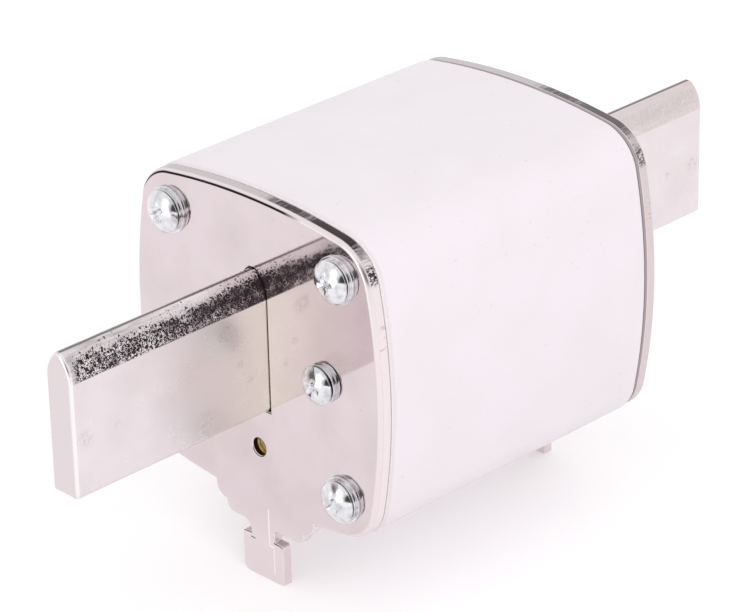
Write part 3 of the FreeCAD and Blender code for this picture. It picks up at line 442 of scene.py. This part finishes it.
def innerMetal(name, bright, dull, size, rough, stretch):
    material, add, place = startMaterial(name, bright, 1.0, rough)
    drawnOut = add("Mapping", {"Vector": place, "Scale": stretch})[0]
    grain = add("TexNoise", {"Vector": drawnOut, "Scale": 1 / (size * mm), "Detail": 3})[0]
    share = add("MapRange", (grain, 0.4, 0.7))[0]
    colour = add("Mix", {0: share, 6: bright, 7: dull}, data_type="RGBA")[2]
    gloss = add("MapRange", (grain, 0.3, 0.7, rough * 0.8, rough * 1.3))[0]
    relief = add("Bump", {"Height": grain, "Distance": 0.01 * mm})[0]
    return endMaterial(material, {"Base Color": colour, "Roughness": gloss, "Normal": relief})


sandLook = {"dark": "#C9BB9F", "glassy": "#F0EADC", "grainSize": 0.4}      # mm


def quartzSand(facts):
    # packed quartz sand: pale buff with darker and glassy grains
    material, add, place = startMaterial("packedQuartzSand", facts["glassy"], 0.0, 0.75)
    grains = add("TexVoronoi", {"Vector": place, "Scale": 1 / (facts["grainSize"] * mm)})
    tone = add("SeparateColor", (grains["Color"],))["Red"]
    colour = add("Mix", {0: tone, 6: facts["dark"], 7: facts["glassy"]}, data_type="RGBA")[2]
    rough = add("MapRange", (tone, 0, 1, 0.4, 0.9))[0]
    height = add("Math", (1, grains["Distance"]), operation="SUBTRACT")[0]
    relief = add("Bump", {"Height": height, "Distance": 0.15 * mm})[0]
    return endMaterial(material, {"Base Color": colour, "Roughness": rough, "Normal": relief})


finish = {      # by the record's material slots
    "porcelain": porcelain(glaze),
    "nickel_plate": nickelPlate(plateLook),
    "tinned_copper": bladeSilver(bladeLook),      # the record's name for the plated blades
    "zinc_steel": zincSteel(zincLook),
    "gasket_fibre": gasketFibre(fibreLook),
    "quartz_sand": quartzSand(sandLook),
    "brass": turnedBrass(brassLook),
    **{slot: innerMetal(*facts) for slot, facts in innerMetals.items()},
}
for part in frame["record"]["subparts"]:
    node = frame["nodes"][part["node"]]
    if not node.material_slots:
        node.data.materials.append(None)
    for slot in node.material_slots:
        slot.material = finish[part["material_slot"]]
print("materials made:", len(finish))


def selectOnly(piece):
    if bpy.context.mode != "OBJECT":
        bpy.ops.object.mode_set(mode="OBJECT")
    bpy.ops.object.select_all(action="DESELECT")
    piece.select_set(True)
    bpy.context.view_layer.objects.active = piece


def useModifier(piece, kind, **settings):
    selectOnly(piece)
    modifier = piece.modifiers.new(kind.lower(), kind)
    for name, value in settings.items():
        setattr(modifier, name, value)
    bpy.ops.object.modifier_apply(modifier=modifier.name)


def softenEdges(piece, width, segments=2, sharpness=38, clamp=True):
    # width in mm; edges that turn by more than sharpness, in degrees, are rounded
    useModifier(piece, "BEVEL", width=width * mm, segments=segments, limit_method="ANGLE",
                angle_limit=math.radians(sharpness), use_clamp_overlap=clamp)


def smoothPiece(piece, angle=32):
    selectOnly(piece)
    bpy.ops.object.shade_smooth_by_angle(angle=math.radians(angle))
    useModifier(piece, "WEIGHTED_NORMAL", mode="FACE_AREA", weight=100, keep_sharp=True)


def settle(piece, name, slotName, nodes, body="fuse_body"):
    # names the piece, gives it its finish and hangs it on its body
    piece.name = name
    piece.data.name = name
    piece.data.materials.clear()
    piece.data.materials.append(finish[slotName])
    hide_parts(*nodes)
    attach(piece, body)


def copyNode(node):
    # a copy of a node's mesh with its doubles merged and its flat faces joined up
    copy = bpy.data.objects.new("copyOf_" + node, frame["nodes"][node].data.copy())
    bpy.context.scene.collection.objects.link(copy)
    selectOnly(copy)
    bpy.ops.object.mode_set(mode="EDIT")
    bpy.ops.mesh.select_all(action="SELECT")
    bpy.ops.mesh.remove_doubles(threshold=0.002 * mm)
    bpy.ops.mesh.dissolve_limited(angle_limit=math.radians(0.6))
    bpy.ops.object.mode_set(mode="OBJECT")
    return copy


bigPieces = {
    # node: name, slot and the rounding of its edges in mm
    "ceramic_body": ("porcelainBody", "porcelain", 0.14),
    "left_end_plate": ("leftEndPlate", "nickel_plate", 0.28),
    "left_knife_blade": ("leftKnifeBlade", "tinned_copper", 0.26),
    "right_end_plate": ("rightEndPlate", "nickel_plate", 0.28),
    "right_knife_blade": ("rightKnifeBlade", "tinned_copper", 0.26),
}
for node, (name, slotName, soft) in bigPieces.items():
    piece = copyNode(node)
    softenEdges(piece, soft, segments=3, sharpness=28, clamp=False)
    smoothPiece(piece)
    settle(piece, name, slotName, [node])
print("body, plates and blades made")

fastener = {
    # mm: the head's width and whole height, the thread below it, and how far its seat stands off the plate
    "corner": {"head": 7.5, "rise": 1.8, "length": 12.9, "stand": 1.3},
    "clamp": {"head": 6.8, "rise": 1.65, "length": 7.2, "stand": 1.15},
    "rim": 0.25,                              # mm, straight side of a head
    "headSides": 56, "crownRings": 9, "washerSteps": 64,
    "shank": 4.0, "core": 3.25, "pitch": 0.7,
    "recessSpan": 4.4, "recessWidth": 1.1, "recessDepth": 0.8,
    "recessTip": 0.42,                        # share of its width that is left at its foot
    "flatWasher": (4.3, 8.3, 0.5),            # inner, outer, thickness
    "springWasher": (4.3, 7.6, 0.7),
    "clampWasher": (4.3, 7.0, 0.85),
    "splitGap": 14.0,                         # degrees left open in a spring washer
    "splitLift": 0.1, "clampLift": 0.3,       # mm between the ends of a corner's and a clamp screw's washer
    "screwSoft": 0.09, "ringSoft": 0.12,      # mm, rounded edges
    "screwAcross": 20.0, "screwUp": 19.9, "clampAcross": 15.85,      # mm from the middle of a plate
    # degrees that each one is turned by, from the lower corner at -Y on
    "cornerTurns": {"left": (32, 74, 20, 50), "right": (15, 60, 40, 80)},
    "clampTurns": {"left": (18, 55), "right": (30, 70)},
    "splitTurns": {"left": (318, 300, 335, 290), "right": (20, 140, 260, 80)},
    "clampSplits": {"left": (80, 300), "right": (80, 130)},
}


def pickEnd(piece, towards, corners):
    # the end face that looks that way along X and has that many corners
    bpy.ops.mesh.select_all(action="DESELECT")
    bpy.ops.object.mode_set(mode="OBJECT")
    for face in piece.data.polygons:
        face.select = face.normal.x * towards > 0.99 and len(face.vertices) == corners
    bpy.ops.object.mode_set(mode="EDIT")


def recessCutter(across, up, height, tipShare):
    # half a cross: a bar that narrows towards its foot
    bpy.ops.mesh.primitive_cube_add(size=1, location=(0, 0, 0))
    bar = bpy.context.active_object
    bar.scale = (height * mm, across * mm, up * mm)
    bpy.ops.object.transform_apply(scale=True)
    bpy.ops.object.mode_set(mode="EDIT")
    bpy.ops.mesh.select_mode(type="FACE")
    for towards, share in ((1, tipShare), (-1, 2 - tipShare)):
        pickEnd(bar, towards, 4)
        bpy.ops.transform.resize(value=(1, share, share), center_override=(0, 0, 0))
    bpy.ops.object.mode_set(mode="OBJECT")
    return bar


def panScrew(facts, sizes):
    # the seat of the head lies at the origin, the crown towards -X
    radius, rim, crown = sizes["head"] / 2, facts["rim"], sizes["rise"] - facts["rim"]
    bpy.ops.object.select_all(action="DESELECT")
    sides, rings = facts["headSides"], facts["crownRings"]
    bpy.ops.mesh.primitive_cylinder_add(vertices=sides, radius=radius * mm, depth=rim * mm,
                                        location=(-rim / 2 * mm, 0, 0), rotation=(0, math.pi / 2, 0))
    screw = bpy.context.active_object
    bpy.ops.object.transform_apply(location=True, rotation=True)
    bpy.ops.object.mode_set(mode="EDIT")
    bpy.ops.mesh.select_mode(type="FACE")
    ball = (radius ** 2 + crown ** 2) / (2 * crown)      # the crown is a cap of a ball
    lean = math.asin(radius / ball)
    last = (radius, 0.0)
    for ring in range(1, rings):
        turn = lean * (1 - ring / rings)
        spot = (ball * math.sin(turn), ball * math.cos(turn) - ball + crown)
        pickEnd(screw, -1, sides)
        bpy.ops.mesh.inset(thickness=(last[0] - spot[0]) * mm, depth=(spot[1] - last[1]) * mm)
        last = spot
    pickEnd(screw, 1, sides)
    bpy.ops.mesh.inset(thickness=(radius - facts["shank"] / 2) * mm, depth=0)
    groove = facts["core"] / facts["shank"]
    for thread in range(int(sizes["length"] / facts["pitch"])):
        for scale in (groove, 1 / groove):
            bpy.ops.mesh.extrude_region_move(
                TRANSFORM_OT_translate={"value": (facts["pitch"] / 2 * mm, 0, 0)})
            bpy.ops.transform.resize(value=(1, scale, scale), center_override=(0, 0, 0))
    bpy.ops.object.mode_set(mode="OBJECT")
    span, wide = facts["recessSpan"], facts["recessWidth"]
    for across, up in ((wide, span), (span, wide)):
        cutter = recessCutter(across, up, 2 * facts["recessDepth"], facts["recessTip"])
        cutter.location.x = -sizes["rise"] * mm
        selectOnly(cutter)
        bpy.ops.object.transform_apply(location=True)
        useModifier(screw, "BOOLEAN", operation="DIFFERENCE", solver="EXACT", object=cutter)
        bpy.data.objects.remove(cutter)
    softenEdges(screw, facts["screwSoft"])
    smoothPiece(screw, 40)
    return screw


def turnedRing(facts, washer, gap=0.0, lift=0.0):
    # a section turned round the X axis, with a gap and a rise between its ends for a spring washer
    inner, outer, thick = facts[washer]
    bpy.ops.object.select_all(action="DESELECT")
    bpy.ops.mesh.primitive_plane_add(size=1)
    ring = bpy.context.active_object
    ring.scale = (thick * mm, (outer - inner) / 2 * mm, 1)
    bpy.ops.object.transform_apply(scale=True)
    ring.location = (-thick / 2 * mm, (outer + inner) / 4 * mm, 0)
    bpy.ops.object.transform_apply(location=True)
    selectOnly(ring)
    bpy.ops.object.mode_set(mode="EDIT")
    bpy.ops.mesh.select_all(action="SELECT")
    bpy.ops.mesh.delete(type="ONLY_FACE")
    bpy.ops.object.mode_set(mode="OBJECT")
    useModifier(ring, "SCREW", axis="X", angle=math.radians(360 - gap), screw_offset=lift * mm,
                steps=facts["washerSteps"], render_steps=facts["washerSteps"], use_merge_vertices=gap == 0,
                merge_threshold=0.001 * mm)
    selectOnly(ring)
    bpy.ops.object.mode_set(mode="EDIT")
    bpy.ops.mesh.select_all(action="SELECT")
    if gap:
        bpy.ops.mesh.fill_holes(sides=4)
        bpy.ops.mesh.select_all(action="SELECT")
    bpy.ops.mesh.normals_make_consistent(inside=False)
    bpy.ops.object.mode_set(mode="OBJECT")
    softenEdges(ring, facts["ringSoft"])
    smoothPiece(ring, 40)
    return ring


def placeCopies(master, name, node, end, standing, spots):
    # end is -1 at the near plate and 1 at the far one; each spot is (across, up, turn in degrees)
    copies = []
    for across, up, turn in spots:
        copy = bpy.data.objects.new(name, master.data.copy())
        bpy.context.scene.collection.objects.link(copy)
        spin = Matrix.Rotation(math.radians(turn), 4, "X")
        face = Matrix.Rotation(0 if end < 0 else math.pi, 4, "Z")
        spot = Matrix.Translation(Vector((end * (plateFace + standing), across, up)) * mm)
        copy.data.transform(spot @ face @ spin)
        copies.append(copy)
    bpy.ops.object.select_all(action="DESELECT")
    for copy in copies:
        copy.select_set(True)
    bpy.context.view_layer.objects.active = copies[0]
    bpy.ops.object.join()
    settle(copies[0], name, "zinc_steel", [node])


def makeFasteners(facts):
    cornerScrew = panScrew(facts, facts["corner"])
    clampScrew = panScrew(facts, facts["clamp"])
    flatRing = turnedRing(facts, "flatWasher")
    springRing = turnedRing(facts, "springWasher", facts["splitGap"], facts["splitLift"])
    clampRing = turnedRing(facts, "clampWasher", facts["splitGap"], facts["clampLift"])
    corners = [(y, plateMiddle + z) for y in (-facts["screwAcross"], facts["screwAcross"])
               for z in (-facts["screwUp"], facts["screwUp"])]
    beside = [(y, plateMiddle) for y in (-facts["clampAcross"], facts["clampAcross"])]
    for side, end in (("left", -1), ("right", 1)):
        for master, name, node, standing, places, turns in (
                (flatRing, "CornerFlatWashers", "_corner_flat_washers", 0, corners, (0, 0, 0, 0)),
                (springRing, "CornerSpringWashers", "_corner_spring_washers", facts["flatWasher"][2], corners,
                 facts["splitTurns"][side]),
                (cornerScrew, "CornerScrews", "_corner_screws", facts["corner"]["stand"], corners,
                 facts["cornerTurns"][side]),
                (clampRing, "ClampSpringWashers", "_clamp_spring_washers", 0, beside,
                 facts["clampSplits"][side]),
                (clampScrew, "ClampScrews", "_clamp_screws", facts["clamp"]["stand"], beside,
                 facts["clampTurns"][side])):
            spots = [(across, up, turn) for (across, up), turn in zip(places, turns)]
            placeCopies(master, side + name, side + node, end, standing, spots)
    for master in (cornerScrew, clampScrew, flatRing, springRing, clampRing):
        bpy.data.objects.remove(master)


makeFasteners(fastener)
print("screws and washers made")

pin = copyNode("indicator_pin")
smoothPiece(pin, 35)
settle(pin, "indicatorPin", "brass", ["indicator_pin"], "indicator")
print("indicator made")

studio = {
    "floor": "#F4F2F3",
    "floorGlow": 0.25,            # its own glow, which only the camera, metal and glass see
    # a panel's shine on the floor, for metal only: how far out, in m, and how wide as a share of that
    "panelShine": {"towards": (-1, 0.05, 0), "from": 0.2, "to": 0.3, "inner": 0.12, "outer": 0.28,
                   "level": 0.8},
    "sky": 0.87,
    # what only metal mirrors: a dark screen and three bright panels, with inner and outer reach in degrees
    "zones": ({"towards": (-0.75, -0.65, 0.12), "inner": 19, "outer": 28, "level": 0.06},
              {"towards": (-1.0, 0.05, 0.0), "inner": 11, "outer": 17, "level": 1.6},
              {"towards": (-1.0, 0.12, 0.4), "inner": 11, "outer": 17, "level": 1.6},
              {"towards": (-0.76, 0.65, 0.08), "inner": 2, "outer": 8, "level": 1.5}),
    "key": {"place": (-0.35, -0.75, 0.55), "towards": (0, 0, 0.04), "size": 0.5, "power": 1.6},
}


def raysOf(add):
    # what the camera, metal or glass sees, and what metal sees
    path = add("LightPath")
    seen = add("Math", (path["Is Glossy Ray"], path["Is Transmission Ray"]), operation="MAXIMUM")[0]
    seen = add("Math", (path["Is Camera Ray"], seen), operation="MAXIMUM")[0]
    return seen, path["Is Glossy Ray"]


def makeFloor(facts):
    bpy.ops.object.select_all(action="DESELECT")
    bpy.ops.mesh.primitive_plane_add(size=6, location=(0, 0, 0))
    floor = bpy.context.active_object
    floor.name = "studioFloor"
    material, add, place = startMaterial("paleStudioFloor", facts["floor"], 0.0, 0.9)
    tree = material.node_tree
    shader = tree.nodes["Principled BSDF"]
    shader.inputs["Specular IOR Level"].default_value = 0
    shader.inputs["Emission Color"].default_value = (1, 1, 1, 1)
    seen, mirrored = raysOf(add)
    glow = add("Math", (seen, facts["floorGlow"]), operation="MULTIPLY")[0]
    tree.links.new(glow, shader.inputs["Emission Strength"])
    panel = facts["panelShine"]
    ahead = Vector(panel["towards"]).normalized()
    out = add("VectorMath", (place, ahead), operation="DOT_PRODUCT")["Value"]
    aside = add("VectorMath", (place, (-ahead.y, ahead.x, 0)), operation="DOT_PRODUCT")["Value"]
    aside = add("Math", (aside,), operation="ABSOLUTE")[0]
    aside = add("Math", (aside, out), operation="DIVIDE")[0]
    shine = add("MapRange", (aside, panel["outer"], panel["inner"], 0, panel["level"]))[0]
    shine = add("MapRange", (out, panel["from"], panel["to"], 0, shine))[0]
    shine = add("Math", (shine, mirrored), operation="MULTIPLY")[0]
    lit = add("Emission", {"Color": (1, 1, 1, 1), "Strength": shine})[0]
    both = add("AddShader", (shader.outputs["BSDF"], lit))[0]
    tree.links.new(both, tree.nodes["Material Output"].inputs["Surface"])
    floor.data.materials.append(material)


def makeSky(facts):
    world = bpy.data.worlds.new("studioSky")
    bpy.context.scene.world = world
    world.use_nodes = True
    add = partial(addNode, world.node_tree)
    seen, mirrored = raysOf(add)
    direction = add("TexCoord")["Generated"]
    strength = add("Math", (seen, 1 - facts["sky"], facts["sky"]), operation="MULTIPLY_ADD")[0]
    for zone in facts["zones"]:
        centre = Vector(zone["towards"]).normalized()
        turned = add("VectorMath", (direction, centre), operation="DOT_PRODUCT")["Value"]
        outer, inner = (math.cos(math.radians(zone[reach])) for reach in ("outer", "inner"))
        share = add("MapRange", (turned, outer, inner, 0, zone["level"] - 1))[0]
        strength = add("Math", (share, mirrored, strength), operation="MULTIPLY_ADD")[0]
    ground = world.node_tree.nodes["Background"]
    ground.inputs["Color"].default_value = (1, 1, 1, 1)
    world.node_tree.links.new(strength, ground.inputs["Strength"])


def makeLight(name, facts):
    data = bpy.data.lights.new(name, "AREA")
    data.size = facts["size"]
    data.energy = facts["power"]
    light = bpy.data.objects.new(name, data)
    light.visible_glossy = False
    light.location = facts["place"]
    light.rotation_mode = "QUATERNION"
    light.rotation_quaternion = (Vector(facts["place"]) - Vector(facts["towards"])).to_track_quat("Z", "Y")
    bpy.context.scene.collection.objects.link(light)


makeFloor(studio)
makeSky(studio)
makeLight("keyLight", studio["key"])
bpy.context.scene.view_settings.view_transform = "Standard"
print("floor and light made")
